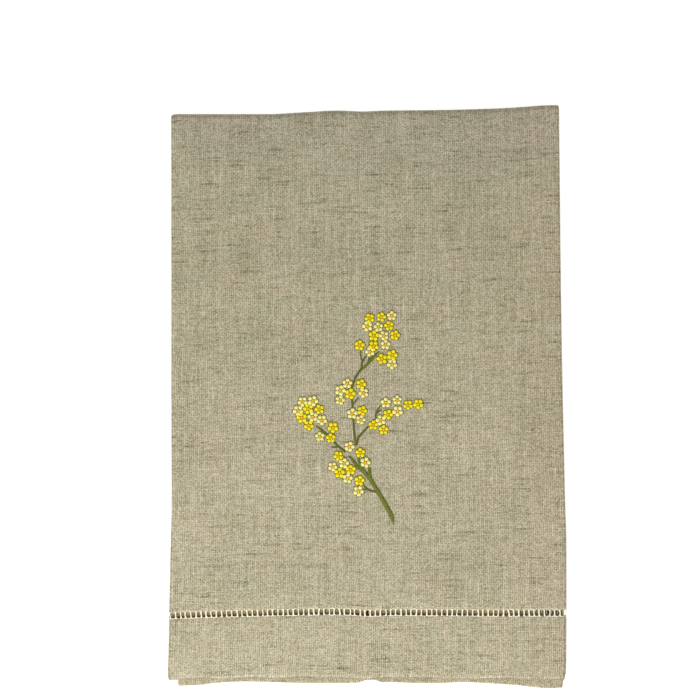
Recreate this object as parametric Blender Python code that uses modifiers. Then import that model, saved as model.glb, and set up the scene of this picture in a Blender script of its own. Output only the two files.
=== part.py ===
"""Hand towel of natural linen, folded in quarters and lying flat with its face up.

The towel is one woven rectangle with a turned hem and a hemstitched band at each end.
Its two long sides are folded in behind the middle until they nearly meet, and the strip
is then folded in half. Four layers lie on each other: front panel, front flaps, back
flaps and back panel. The cloth is one sheet carried round these folds and given its
thickness by Solidify.

Lengths are in millimetres and become metres when the sheet is made. +Z is up, +Y runs
to the fold at the top of the towel, and the origin is under the middle of its box.
"""

from collections import namedtuple

import bpy
import numpy as np

MM = 0.001

# Thickness of one layer: plain cloth, turned hem and the thin hemstitched band
BODY_THICK = 1.0
HEM_THICK = 1.4
BAND_THICK = 0.6

# Height from the middle of one layer to the middle of the next
BODY_PITCH = 1.5
HEM_PITCH = 1.8

# The hem's pitch holds up to the first height above the hem's edge, and eases to the
# plain cloth's pitch at the second
HEM_PITCH_UP_TO = 40.0
BODY_PITCH_FROM = 58.0

# Cloth along one half of the towel, from the hem's edge to the middle of the top fold
HALF_LENGTH = 254.5
BAND_MIDDLE = 30.0
BAND_HEIGHT = 2.4
BAND_SHOULDER = 0.5

# The side edges of the cloth lie behind the middle, a little apart
GAP_AT_HEM = 4.4
GAP_AT_FOLD = 1.4

# How far the flaps' and the back panel's middles ride up from a straight fold
FRONT_FLAP_RISE = 6.0
BACK_PANEL_RISE = 0.9

# Steps of the grid over the cloth
PANEL_STEPS = 18
FLAP_STEPS = 7
SIDE_FOLD_STEPS = 4
TOP_FOLD_STEPS = 6
HEM_STEPS = 3
FRONT_STEPS = 14
BACK_STEPS = 8

# Layers are counted up from the back panel, which is 0, to the front panel, which is 3
MIDDLE_LAYER = 1.5
TOP_LAYER = 3.0

# Outer edges of the side folds, by the length of cloth above the hem's edge
Sides = namedtuple("Sides", "reach left right")
FRONT_SIDES = (
    Sides(reach=0.0, left=-89.7, right=89.0),
    Sides(reach=3.6, left=-89.8, right=89.6),
    Sides(reach=9.0, left=-89.6, right=89.7),
    Sides(reach=36.0, left=-89.1, right=89.8),
    Sides(reach=58.5, left=-88.6, right=89.8),
    Sides(reach=81.0, left=-88.1, right=89.2),
    Sides(reach=126.0, left=-88.2, right=88.2),
    Sides(reach=171.0, left=-88.2, right=87.4),
    Sides(reach=216.0, left=-88.2, right=86.9),
    Sides(reach=254.5, left=-88.3, right=86.5),
)
BACK_SIDES = (
    Sides(reach=0.0, left=-85.2, right=88.1),
    Sides(reach=6.0, left=-85.3, right=88.8),
    Sides(reach=254.5, left=-88.3, right=86.5),
)

# Outer edges across the towel, by the place across it
Edge = namedtuple("Edge", "x y")
TOP_FOLD = (
    Edge(x=-88.5, y=126.2),
    Edge(x=-86.0, y=127.1),
    Edge(x=-83.0, y=127.0),
    Edge(x=-45.0, y=127.0),
    Edge(x=-29.0, y=127.8),
    Edge(x=-13.0, y=128.6),
    Edge(x=-2.0, y=128.2),
    Edge(x=8.5, y=128.6),
    Edge(x=30.0, y=128.8),
    Edge(x=57.0, y=129.5),
    Edge(x=68.0, y=130.1),
    Edge(x=79.0, y=130.9),
    Edge(x=87.0, y=131.2),
)
FRONT_HEM = (
    Edge(x=-89.0, y=-127.8),
    Edge(x=-65.0, y=-127.1),
    Edge(x=-20.0, y=-126.8),
    Edge(x=-7.6, y=-126.9),
    Edge(x=0.5, y=-127.5),
    Edge(x=12.6, y=-127.1),
    Edge(x=60.0, y=-127.6),
    Edge(x=88.0, y=-127.8),
)
BACK_HEM = (
    Edge(x=-85.0, y=-130.5),
    Edge(x=-76.0, y=-130.2),
    Edge(x=-67.0, y=-129.1),
    Edge(x=-56.0, y=-128.6),
    Edge(x=-21.0, y=-129.4),
    Edge(x=8.5, y=-128.9),
    Edge(x=27.5, y=-129.4),
    Edge(x=44.0, y=-128.9),
    Edge(x=57.0, y=-129.5),
    Edge(x=68.0, y=-130.3),
    Edge(x=74.0, y=-131.0),
    Edge(x=81.0, y=-131.6),
    Edge(x=88.0, y=-131.4),
)

# Soft ridges in the stack: middle, half length, half width, turn in degrees and height
Ridge = namedtuple("Ridge", "x y long wide turn high")
RIDGES = (
    Ridge(x=-10.0, y=88.0, long=70.0, wide=11.0, turn=2.0, high=0.5),
    Ridge(x=-28.0, y=50.0, long=60.0, wide=13.0, turn=-3.0, high=0.8),
    Ridge(x=-66.0, y=0.0, long=24.0, wide=15.0, turn=18.0, high=0.6),
    Ridge(x=-44.0, y=-26.0, long=42.0, wide=12.0, turn=4.0, high=0.8),
    Ridge(x=-15.0, y=-63.0, long=34.0, wide=15.0, turn=-12.0, high=0.7),
    Ridge(x=48.0, y=20.0, long=70.0, wide=17.0, turn=78.0, high=0.5),
    Ridge(x=58.0, y=-74.0, long=32.0, wide=14.0, turn=40.0, high=0.6),
)
EDGE_FADE = 20.0

# Natural undyed linen
LINEN_SRGB = (0.686, 0.655, 0.545)
LINEN_ROUGHNESS = 0.9


def clear_scene():
    """Remove the objects that a new file starts with."""
    for item in list(bpy.data.objects):
        bpy.data.objects.remove(item, do_unlink=True)


def srgb_to_linear(colour):
    """Linear values of an sRGB colour given from 0 to 1."""
    parts = np.asarray(colour)
    low = parts / 12.92
    high = ((parts + 0.055) / 1.055) ** 2.4
    return np.where(parts <= 0.04045, low, high)


def ease(start, end, value):
    """0 before start, 1 after end and a smooth rise between them."""
    share = np.clip((value - start) / (end - start), 0.0, 1.0)
    return share * share * (3.0 - 2.0 * share)


def read_table(table, key, column, value):
    """A column of a table, read between its rows."""
    keys = [getattr(row, key) for row in table]
    entries = [getattr(row, column) for row in table]
    return np.interp(value, keys, entries)


def columns_across():
    """Share of the half width, side of the middle, and turn round the side fold."""
    flap = np.linspace(0.0, 1.0, FLAP_STEPS + 1)
    panel = np.linspace(-1.0, 1.0, PANEL_STEPS + 1)
    bend = np.linspace(0.0, np.pi, SIDE_FOLD_STEPS + 1)[1:-1]
    share = np.concatenate([flap, np.ones_like(bend), np.abs(panel), np.ones_like(bend), flap[::-1]])
    outer = np.ones(len(flap) + len(bend))
    side = np.concatenate([-outer, np.sign(panel), outer])
    flap_turn = np.full_like(flap, np.pi)
    turn = np.concatenate([flap_turn, bend[::-1], np.zeros_like(panel), bend, flap_turn])
    return share, side, turn


def rows_along():
    """Reach above the hem's edge and turn round the top fold, front hem to back hem."""
    band_low = BAND_MIDDLE - BAND_HEIGHT / 2
    band_high = BAND_MIDDLE + BAND_HEIGHT / 2
    hem = np.linspace(0.0, band_low - BAND_SHOULDER, HEM_STEPS + 1)
    band = np.array([band_low, band_high])
    front = np.linspace(band_high + BAND_SHOULDER, HALF_LENGTH, FRONT_STEPS + 1)
    back = np.linspace(HALF_LENGTH, band_high + BAND_SHOULDER, BACK_STEPS + 1)
    bend = np.linspace(0.0, np.pi, TOP_FOLD_STEPS + 1)[1:-1]
    reach = np.concatenate([
        hem, band, front, np.full_like(bend, HALF_LENGTH), back, band[::-1], hem[::-1],
    ])
    before = np.zeros(len(hem) + len(band) + len(front))
    after = np.full(len(back) + len(band) + len(hem), np.pi)
    return reach, np.concatenate([before, bend, after])


def thickness(reach):
    """Thickness of one layer: hem, hemstitched band or plain cloth."""
    from_band = reach - BAND_MIDDLE
    outside = np.abs(from_band) > BAND_HEIGHT / 2 + BAND_SHOULDER / 2
    plain = np.where(from_band < 0.0, HEM_THICK, BODY_THICK)
    return np.where(outside, plain, BAND_THICK)


def soft_ridges(x, y):
    """Height that the hand-placed ridges add to the top layer, fading at the edges."""
    total = np.zeros_like(x)
    for ridge in RIDGES:
        turn = np.radians(ridge.turn)
        along = (x - ridge.x) * np.cos(turn) + (y - ridge.y) * np.sin(turn)
        across = (y - ridge.y) * np.cos(turn) - (x - ridge.x) * np.sin(turn)
        total += ridge.high * np.exp(-(along / ridge.long) ** 2 - (across / ridge.wide) ** 2)
    side_room = read_table(FRONT_SIDES, "reach", "right", 0.0) - np.abs(x)
    end_room = HALF_LENGTH / 2 - np.abs(y)
    return total * ease(0.0, EDGE_FADE, np.minimum(side_room, end_room))


def folded_sheet():
    """Middle surface of the folded cloth, and the thickness of the cloth at each point.

    The side folds turn about lines half a pitch inside the edge, and the top fold turns
    about a line one and a half pitches inside it. With both turns at 0 a point is on the
    front panel; the side turn takes it to a flap and the top turn takes it to the back.
    """
    column_share, column_side, column_turn = columns_across()
    row_reach, row_turn = rows_along()
    share, reach = np.meshgrid(column_share, row_reach)
    side_turn, top_turn = np.meshgrid(column_turn, row_turn)
    side = np.broadcast_to(column_side, share.shape)
    thick = thickness(reach)

    # Share of the way from front to back, and from panel to flap
    backness = (1.0 - np.cos(top_turn)) / 2
    flapness = (1.0 - np.cos(side_turn)) / 2
    layer = MIDDLE_LAYER + np.cos(top_turn) * (1.0 + np.cos(side_turn) / 2)

    # A layer's middle may ride up; layers stand further apart where any of them is a hem
    ride = (1.0 - share) * (
        (1.0 - backness) * flapness * FRONT_FLAP_RISE
        + backness * (1.0 - flapness) * BACK_PANEL_RISE
    )
    hem_zone = 1.0 - ease(HEM_PITCH_UP_TO, BODY_PITCH_FROM, reach + ride)
    pitch = BODY_PITCH + (HEM_PITCH - BODY_PITCH) * hem_zone
    zone_thick = BODY_THICK + (HEM_THICK - BODY_THICK) * hem_zone

    # Lines that the side folds turn about, and the cloth's own edges behind the middle
    left = (1.0 - backness) * read_table(FRONT_SIDES, "reach", "left", reach)
    left += backness * read_table(BACK_SIDES, "reach", "left", reach)
    right = (1.0 - backness) * read_table(FRONT_SIDES, "reach", "right", reach)
    right += backness * read_table(BACK_SIDES, "reach", "right", reach)
    gap = GAP_AT_FOLD + (GAP_AT_HEM - GAP_AT_FOLD) * (1.0 - ease(0.0, HALF_LENGTH, reach))
    middle = (left + right) / 2
    half_width = (right - left) / 2 - (pitch + thick) / 2
    x_flat = middle + side * (half_width * share + flapness * (1.0 - share) * gap / 2)

    # Heights on the flat towel, from the hem's edge to the line of the top fold
    hem_y = (1.0 - backness) * read_table(FRONT_HEM, "x", "y", x_flat)
    hem_y += backness * read_table(BACK_HEM, "x", "y", x_flat)
    hem_y += ride
    fold_y = read_table(TOP_FOLD, "x", "y", x_flat) - TOP_LAYER / 2 * BODY_PITCH - BODY_THICK / 2
    y_flat = hem_y + (fold_y - hem_y) * reach / HALF_LENGTH

    # The back panel lies on its own thickness, and the layers above on the thickest one
    floor_thick = np.where(reach < BAND_MIDDLE, HEM_THICK, BODY_THICK)
    layer_share = layer / TOP_LAYER
    seat = (floor_thick * (1.0 - layer_share) + zone_thick * layer_share) / 2

    x = x_flat + side * np.sin(side_turn) * pitch / 2
    y = y_flat + np.sin(top_turn) * (1.0 + np.cos(side_turn) / 2) * pitch
    z = seat + pitch * layer + soft_ridges(x, y) * layer_share
    return np.stack([x, y, z], axis=-1), thick


def linen_material():
    """Plain undyed linen."""
    material = bpy.data.materials.new("natural_linen")
    material.use_nodes = True
    shader = material.node_tree.nodes["Principled BSDF"]
    shader.inputs["Base Color"].default_value = (*srgb_to_linear(LINEN_SRGB), 1.0)
    shader.inputs["Roughness"].default_value = LINEN_ROUGHNESS
    shader.inputs["Metallic"].default_value = 0.0
    return material


def make_towel(collection):
    """The folded towel as one closed sheet."""
    points, thick = folded_sheet()
    row_count, column_count = thick.shape
    bpy.ops.mesh.primitive_grid_add(
        x_subdivisions=column_count - 1,
        y_subdivisions=row_count - 1,
    )
    towel = bpy.context.object
    towel.name = "towel"
    towel.data.name = "towel"
    towel.data.vertices.foreach_set("co", (points * MM).ravel())
    towel.data.shade_smooth()

    shares = (thick / HEM_THICK).ravel()
    weights = towel.vertex_groups.new(name="thickness")
    for share in np.unique(shares):
        chosen = np.flatnonzero(shares == share)
        weights.add(chosen.tolist(), float(share), "REPLACE")
    shell = towel.modifiers.new("cloth thickness", "SOLIDIFY")
    shell.thickness = HEM_THICK * MM
    shell.offset = 0.0
    shell.use_even_offset = True
    shell.use_quality_normals = True
    shell.vertex_group = weights.name
    shell.thickness_vertex_group = 0.0

    towel.data.materials.append(linen_material())
    for home in list(towel.users_collection):
        home.objects.unlink(towel)
    collection.objects.link(towel)
    return towel


def main():
    """Build the part."""
    clear_scene()
    collection = bpy.data.collections.new("hand_towel")
    bpy.context.scene.collection.children.link(collection)
    make_towel(collection)


main()
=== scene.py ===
"""Looks of a hand towel of natural linen, folded in quarters and lying face up.

The cloth, its two turned hems, the open hemstitched bands and the embroidered sprig are
surfaces worked out on the same folded form as the solid. Lengths are in millimetres and
become metres when a mesh is made; +Z is up and +Y runs to the fold at the top.

Pieces that belong to the cloth are worked out in cloth coordinates: across, from the
middle of the front panel to the side edges behind it, and along, from the front hem's
edge over the top fold to the back hem's edge, with a height raised towards the face.
"""

from collections import namedtuple

import bpy
import numpy as np
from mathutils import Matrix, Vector


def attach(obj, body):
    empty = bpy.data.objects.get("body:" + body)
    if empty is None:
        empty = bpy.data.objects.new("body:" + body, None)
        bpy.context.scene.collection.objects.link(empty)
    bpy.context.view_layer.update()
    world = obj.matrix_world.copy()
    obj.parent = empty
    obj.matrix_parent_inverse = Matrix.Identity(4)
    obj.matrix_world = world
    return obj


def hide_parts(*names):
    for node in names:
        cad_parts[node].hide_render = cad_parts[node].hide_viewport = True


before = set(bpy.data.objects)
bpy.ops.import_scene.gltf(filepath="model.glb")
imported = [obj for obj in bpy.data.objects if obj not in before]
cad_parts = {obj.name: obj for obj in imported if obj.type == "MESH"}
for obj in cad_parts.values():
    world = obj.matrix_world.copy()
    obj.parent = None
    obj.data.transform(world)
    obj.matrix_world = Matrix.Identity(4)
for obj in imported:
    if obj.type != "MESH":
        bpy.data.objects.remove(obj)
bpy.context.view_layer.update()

MM = 0.001
BODY = "root"

# The folded form, as the solid has it: a pitch is the height from one layer to the next,
# a gap lies between the flaps' edges, and a rise is how far up a hem lies at the middle
BODY_THICK = 1.0
HEM_THICK = 1.4
BODY_PITCH = 1.5
HEM_PITCH = 1.8
HEM_PITCH_UP_TO = 40.0
BODY_PITCH_FROM = 58.0
MIDDLE_LAYER = 1.5
TOP_LAYER = 3.0
GAP_AT_HEM = 4.4
GAP_AT_FOLD = 1.4
FRONT_FLAP_RISE = 6.0
BACK_PANEL_RISE = 0.9

# The flaps' hem corners are drawn up, which rounds the notch at the middle
FLAP_CORNER = 0.9
FLAP_CORNER_WIDE = 3.5

# Cloth lengths: half a panel, round a side fold, one half's length, round the top fold
HALF_PANEL = 87.0
SIDE_BEND = 2.6
HALF_LENGTH = 254.5
TOP_BEND = 7.0
CLOTH_EDGE = 2 * HALF_PANEL + SIDE_BEND
CLOTH_END = 2 * HALF_LENGTH + TOP_BEND

# Real cloth is thinner than the solid, and its face lies on the solid's face
CLOTH_THICK = 0.5
FACE_OFFSET = (BODY_THICK - CLOTH_THICK) / 2

# Hemstitched band: middle, height and spacing of its bars
BAND_MIDDLE = 30.0
BAND_HEIGHT = 2.4
BAR_PITCH = 2.279
BAND_LOW = BAND_MIDDLE - BAND_HEIGHT / 2
BAND_HIGH = BAND_MIDDLE + BAND_HEIGHT / 2

# Near the band the face sags at the left, the flaps behind it lie higher and nearly meet,
# and the back half lies lower, so no hole shows the floor
NEAR_BAND = 20.0
BAND_SAG = 0.7
BAND_SAG_FROM = 20.0
LEFT_FLAP_BAND_RISE = 3.2
RIGHT_FLAP_BAND_RISE = 1.5
FLAPS_CLOSE = 1.0
BACK_BAND_DROP = 2.2

# Outer edges of the side folds, by the length of cloth above the hem's edge
Sides = namedtuple("Sides", "reach left right")
FRONT_SIDES = (
    Sides(reach=0.0, left=-89.7, right=89.0),
    Sides(reach=3.6, left=-89.8, right=89.6),
    Sides(reach=9.0, left=-89.6, right=89.7),
    Sides(reach=36.0, left=-89.1, right=89.8),
    Sides(reach=58.5, left=-88.6, right=89.8),
    Sides(reach=81.0, left=-88.1, right=89.2),
    Sides(reach=126.0, left=-88.2, right=88.2),
    Sides(reach=171.0, left=-88.2, right=87.4),
    Sides(reach=216.0, left=-88.2, right=86.9),
    Sides(reach=254.5, left=-88.3, right=86.5),
)
BACK_SIDES = (
    Sides(reach=0.0, left=-85.2, right=88.1),
    Sides(reach=6.0, left=-85.3, right=88.8),
    Sides(reach=254.5, left=-88.3, right=86.5),
)

# Outer edges across the towel, by the place across it
Edge = namedtuple("Edge", "x y")
TOP_FOLD = (
    Edge(x=-88.5, y=126.2),
    Edge(x=-86.0, y=127.1),
    Edge(x=-83.0, y=127.0),
    Edge(x=-45.0, y=127.0),
    Edge(x=-29.0, y=127.8),
    Edge(x=-13.0, y=128.6),
    Edge(x=-2.0, y=128.2),
    Edge(x=8.5, y=128.6),
    Edge(x=30.0, y=128.8),
    Edge(x=57.0, y=129.5),
    Edge(x=68.0, y=130.1),
    Edge(x=79.0, y=130.9),
    Edge(x=87.0, y=131.2),
)
FRONT_HEM = (
    Edge(x=-89.0, y=-127.8),
    Edge(x=-65.0, y=-127.1),
    Edge(x=-20.0, y=-126.8),
    Edge(x=-7.6, y=-126.9),
    Edge(x=0.5, y=-127.5),
    Edge(x=12.6, y=-127.1),
    Edge(x=60.0, y=-127.6),
    Edge(x=88.0, y=-127.8),
)
BACK_HEM = (
    Edge(x=-85.0, y=-130.5),
    Edge(x=-76.0, y=-130.2),
    Edge(x=-67.0, y=-129.1),
    Edge(x=-56.0, y=-128.6),
    Edge(x=-21.0, y=-129.4),
    Edge(x=8.5, y=-128.9),
    Edge(x=27.5, y=-129.4),
    Edge(x=44.0, y=-128.9),
    Edge(x=57.0, y=-129.5),
    Edge(x=68.0, y=-130.3),
    Edge(x=74.0, y=-131.0),
    Edge(x=81.0, y=-131.6),
    Edge(x=88.0, y=-131.4),
)

# Soft ridges in the stack: middle, half length, half width, turn in degrees and height
Ridge = namedtuple("Ridge", "x y long wide turn high")
RIDGES = (
    Ridge(x=-10.0, y=88.0, long=70.0, wide=11.0, turn=2.0, high=0.5),
    Ridge(x=-28.0, y=50.0, long=60.0, wide=13.0, turn=-3.0, high=0.8),
    Ridge(x=-66.0, y=0.0, long=24.0, wide=15.0, turn=18.0, high=0.6),
    Ridge(x=-44.0, y=-26.0, long=42.0, wide=12.0, turn=4.0, high=0.8),
    Ridge(x=-15.0, y=-63.0, long=34.0, wide=15.0, turn=-12.0, high=0.7),
    Ridge(x=48.0, y=20.0, long=70.0, wide=17.0, turn=78.0, high=0.5),
    Ridge(x=58.0, y=-74.0, long=32.0, wide=14.0, turn=40.0, high=0.6),
)
EDGE_FADE = 20.0

# Slight waves that pressed linen keeps: length, heading in degrees, phase and height
Wave = namedtuple("Wave", "length heading phase high")
WAVES = (
    Wave(length=47.0, heading=84.0, phase=0.4, high=0.07),
    Wave(length=31.0, heading=97.0, phase=2.1, high=0.045),
    Wave(length=38.0, heading=12.0, phase=4.0, high=0.05),
    Wave(length=22.0, heading=-35.0, phase=1.2, high=0.03),
    Wave(length=15.0, heading=70.0, phase=5.2, high=0.015),
)

# Single slubs that show: middle in cloth coordinates, half size each way, and how much
# paler or darker the cloth is there
Slub = namedtuple("Slub", "across along wide high change")
SLUBS = (
    Slub(across=49.0, along=43.0, wide=0.8, high=6.0, change=0.24),
    Slub(across=15.0, along=22.2, wide=13.0, high=0.7, change=-0.18),
    Slub(across=-66.5, along=148.0, wide=4.0, high=0.6, change=-0.26),
    Slub(across=-66.5, along=139.4, wide=3.5, high=0.9, change=-0.26),
    Slub(across=-41.5, along=146.2, wide=5.0, high=0.6, change=-0.28),
    Slub(across=-80.0, along=136.0, wide=8.0, high=0.6, change=-0.20),
    Slub(across=-49.0, along=126.4, wide=12.0, high=0.5, change=-0.18),
    Slub(across=41.0, along=122.5, wide=8.0, high=0.6, change=-0.20),
)


def ease(start, end, value):
    """0 before start, 1 after end and a smooth rise between them."""
    share = np.clip((value - start) / (end - start), 0.0, 1.0)
    return share * share * (3.0 - 2.0 * share)


def smooth_line(keys, entries, value):
    """A smooth line through given entries that never swings past them.

    Cubic pieces, whose slope at an entry is the harmonic mean of the slopes on its two
    sides, or zero where those differ in sign.
    """
    sides = np.diff(entries) / np.diff(keys)
    before = np.concatenate([sides[:1], sides])
    after = np.concatenate([sides, sides[-1:]])
    same = before * after > 0.0
    slopes = np.where(same, 2.0 * before * after / np.where(same, before + after, 1.0), 0.0)
    low = np.clip(np.searchsorted(keys, value) - 1, 0, len(keys) - 2)
    span = keys[low + 1] - keys[low]
    t = np.clip((value - keys[low]) / span, 0.0, 1.0)
    rise = t * t * (3.0 - 2.0 * t)
    bend = (t - 2.0 * t * t + t**3) * slopes[low] + (t**3 - t * t) * slopes[low + 1]
    return entries[low] * (1.0 - rise) + entries[low + 1] * rise + bend * span


def read_table(table, key, column, value):
    """The smooth line through one column of a table, read at the given values."""
    keys = np.array([getattr(row, key) for row in table])
    entries = np.array([getattr(row, column) for row in table])
    return smooth_line(keys, entries, value)


def relief(x, y):
    """Height of the soft ridges and slight waves in the top layer, fading at the edges."""
    total = np.zeros_like(x)
    for ridge in RIDGES:
        turn = np.radians(ridge.turn)
        along = (x - ridge.x) * np.cos(turn) + (y - ridge.y) * np.sin(turn)
        across = (y - ridge.y) * np.cos(turn) - (x - ridge.x) * np.sin(turn)
        total += ridge.high * np.exp(-(along / ridge.long) ** 2 - (across / ridge.wide) ** 2)
    for wave in WAVES:
        heading = np.radians(wave.heading)
        way = x * np.cos(heading) + y * np.sin(heading)
        total += wave.high * (1.0 + np.sin(2 * np.pi * way / wave.length + wave.phase))
    side_room = HALF_PANEL + BODY_PITCH - np.abs(x)
    end_room = HALF_LENGTH / 2 - np.abs(y)
    return total * ease(0.0, EDGE_FADE, np.minimum(side_room, end_room))


def fold(across, along):
    """Middle of the folded cloth at the given cloth coordinates.

    Across, the cloth is flat on the panel, turns half a circle round each side fold and
    comes back as a flap. Along, it is flat to the top fold, turns half a circle round it
    and comes back underneath. Heights follow both turns: a panel goes from layer 3 to
    layer 0 over the top fold, and a flap from layer 2 to layer 1 inside it.
    """
    side = np.sign(across)
    beyond = np.abs(across) - HALF_PANEL
    side_turn = np.pi * np.clip(beyond / SIDE_BEND, 0.0, 1.0)
    share = 1.0 + np.where(beyond < 0.0, beyond, -np.maximum(beyond - SIDE_BEND, 0.0)) / HALF_PANEL
    past = along - HALF_LENGTH
    top_turn = np.pi * np.clip(past / TOP_BEND, 0.0, 1.0)
    reach = HALF_LENGTH + np.where(past < 0.0, past, -np.maximum(past - TOP_BEND, 0.0))
    backness = (1.0 - np.cos(top_turn)) / 2
    flapness = (1.0 - np.cos(side_turn)) / 2
    layer = MIDDLE_LAYER + np.cos(top_turn) * (1.0 + np.cos(side_turn) / 2)

    ride = (1.0 - share) * (
        (1.0 - backness) * flapness * FRONT_FLAP_RISE
        + backness * (1.0 - flapness) * BACK_PANEL_RISE
    )
    by_band = np.exp(-(((reach - BAND_MIDDLE) / NEAR_BAND) ** 2))
    hem_zone = 1.0 - ease(HEM_PITCH_UP_TO, BODY_PITCH_FROM, reach + ride)
    pitch = BODY_PITCH + (HEM_PITCH - BODY_PITCH) * hem_zone
    zone_thick = BODY_THICK + (HEM_THICK - BODY_THICK) * hem_zone

    hem_thick_share = 1.0 - ease(BAND_LOW, BAND_HIGH, reach)
    floor_thick = BODY_THICK + (HEM_THICK - BODY_THICK) * hem_thick_share
    left = (1.0 - backness) * read_table(FRONT_SIDES, "reach", "left", reach)
    left += backness * read_table(BACK_SIDES, "reach", "left", reach)
    right = (1.0 - backness) * read_table(FRONT_SIDES, "reach", "right", reach)
    right += backness * read_table(BACK_SIDES, "reach", "right", reach)
    gap = GAP_AT_FOLD + (GAP_AT_HEM - GAP_AT_FOLD) * (1.0 - ease(0.0, HALF_LENGTH, reach))
    gap *= 1.0 - FLAPS_CLOSE * by_band * (1.0 - backness)
    middle = (left + right) / 2
    half_width = (right - left) / 2 - (pitch + floor_thick) / 2
    x_flat = middle + side * (half_width * share + flapness * (1.0 - share) * gap / 2)

    hem_y = (1.0 - backness) * read_table(FRONT_HEM, "x", "y", x_flat)
    hem_y += backness * read_table(BACK_HEM, "x", "y", x_flat)
    hem_y += ride + FLAP_CORNER * flapness * (
        1.0 - ease(0.0, FLAP_CORNER_WIDE, share * HALF_PANEL)
    )
    fold_y = read_table(TOP_FOLD, "x", "y", x_flat) - TOP_LAYER / 2 * BODY_PITCH - BODY_THICK / 2
    y_flat = hem_y + (fold_y - hem_y) * reach / HALF_LENGTH
    sag = BAND_SAG * ease(BAND_SAG_FROM, HALF_PANEL, -x_flat)
    sag -= LEFT_FLAP_BAND_RISE * ease(0.5, 1.0, flapness) * (side < 0)
    sag -= RIGHT_FLAP_BAND_RISE * flapness * ease(0.0, 0.15, 1.0 - share) * (side > 0)
    y_flat -= by_band * ((1.0 - backness) * sag + backness * BACK_BAND_DROP)

    layer_share = layer / TOP_LAYER
    seat = (floor_thick * (1.0 - layer_share) + zone_thick * layer_share) / 2
    x = x_flat + side * np.sin(side_turn) * pitch / 2
    y = y_flat + np.sin(top_turn) * (1.0 + np.cos(side_turn) / 2) * pitch
    z = seat + pitch * layer + relief(x, y) * layer_share
    return np.stack([x, y, z], axis=-1)


def on_cloth(across, along, raised):
    """Points raised from the middle of the cloth, square to it and towards its face."""
    step = 0.05
    across, along, raised = np.broadcast_arrays(across, along, raised)
    over = fold(across + step, along) - fold(across - step, along)
    up = fold(across, along + step) - fold(across, along - step)
    normal = np.cross(over, up)
    normal /= np.linalg.norm(normal, axis=-1, keepdims=True)
    return fold(across, along) + raised[..., None] * normal


def face_height(x, y):
    """Height of the front panel's face over a place on the towel."""
    reach = y - FRONT_HEM[0].y
    hem_zone = 1.0 - ease(HEM_PITCH_UP_TO, BODY_PITCH_FROM, reach)
    pitch = BODY_PITCH + (HEM_PITCH - BODY_PITCH) * hem_zone
    thick = BODY_THICK + (HEM_THICK - BODY_THICK) * hem_zone
    return thick / 2 + TOP_LAYER * pitch + relief(x, y) + BODY_THICK / 2


def grid_faces(rows, columns, close_columns=False):
    """Four-cornered faces between the points of a grid, its rows closed where asked."""
    row = np.arange(rows - 1)
    column = np.arange(columns if close_columns else columns - 1)
    row, column = np.meshgrid(row, column, indexing="ij")
    next_column = (column + 1) % columns
    corners = (
        row * columns + column,
        row * columns + next_column,
        (row + 1) * columns + next_column,
        (row + 1) * columns + column,
    )
    return np.stack(corners, axis=-1).reshape(-1, 4)


def tube_faces(count, rings, sides):
    """Walls and end caps of so many tubes, each made of rings of points one after another."""
    start = np.arange(count)[:, None, None] * rings * sides
    walls = (grid_faces(rings, sides, close_columns=True) + start).reshape(-1, 4)
    ring = np.arange(sides)
    first = start[:, 0] + ring[::-1]
    last = start[:, 0] + (rings - 1) * sides + ring
    return walls, np.concatenate([first, last])


def add_piece(name, points, faces, pattern, material, caps=None, flip=False):
    """A piece of the towel from points in mm, faces and its pattern coordinates in mm."""
    mesh = bpy.data.meshes.new(name)
    turn = -1 if flip else 1
    order = faces[:, ::turn].tolist()
    if caps is not None:
        order += caps[:, ::turn].tolist()
    mesh.from_pydata((points.reshape(-1, 3) * MM).tolist(), [], order)
    layer = mesh.uv_layers.new(name="ClothMap")
    corners = np.zeros(len(mesh.loops), dtype=np.int32)
    mesh.loops.foreach_get("vertex_index", corners)
    layer.data.foreach_set("uv", pattern.reshape(-1, 2)[corners].astype(np.float32).ravel())
    mesh.shade_smooth()
    mesh.materials.append(material)
    piece = bpy.data.objects.new(name, mesh)
    bpy.context.scene.collection.objects.link(piece)
    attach(piece, BODY)
    return piece


def srgb(code):
    """Linear colour with alpha from an sRGB hex code such as 'b4aa8c'."""
    parts = np.array([int(code[k:k + 2], 16) for k in (0, 2, 4)]) / 255.0
    linear = np.where(parts <= 0.04045, parts / 12.92, ((parts + 0.055) / 1.055) ** 2.4)
    return (*linear.tolist(), 1.0)


def add_node(tree, kind, inputs=None, **settings):
    """A shader node with its settings; an input is a value or another node's output."""
    made = tree.nodes.new(kind)
    for name, value in settings.items():
        setattr(made, name, value)
    for socket, value in (inputs or {}).items():
        if isinstance(value, bpy.types.NodeSocket):
            tree.links.new(value, made.inputs[socket])
        else:
            made.inputs[socket].default_value = value
    return made


def new_material(name):
    """A material with its node tree and the shader in it, which is joined to the output."""
    material = bpy.data.materials.new(name)
    material.use_nodes = True
    tree = material.node_tree
    shader = tree.nodes["Principled BSDF"]
    return material, tree, shader


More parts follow.
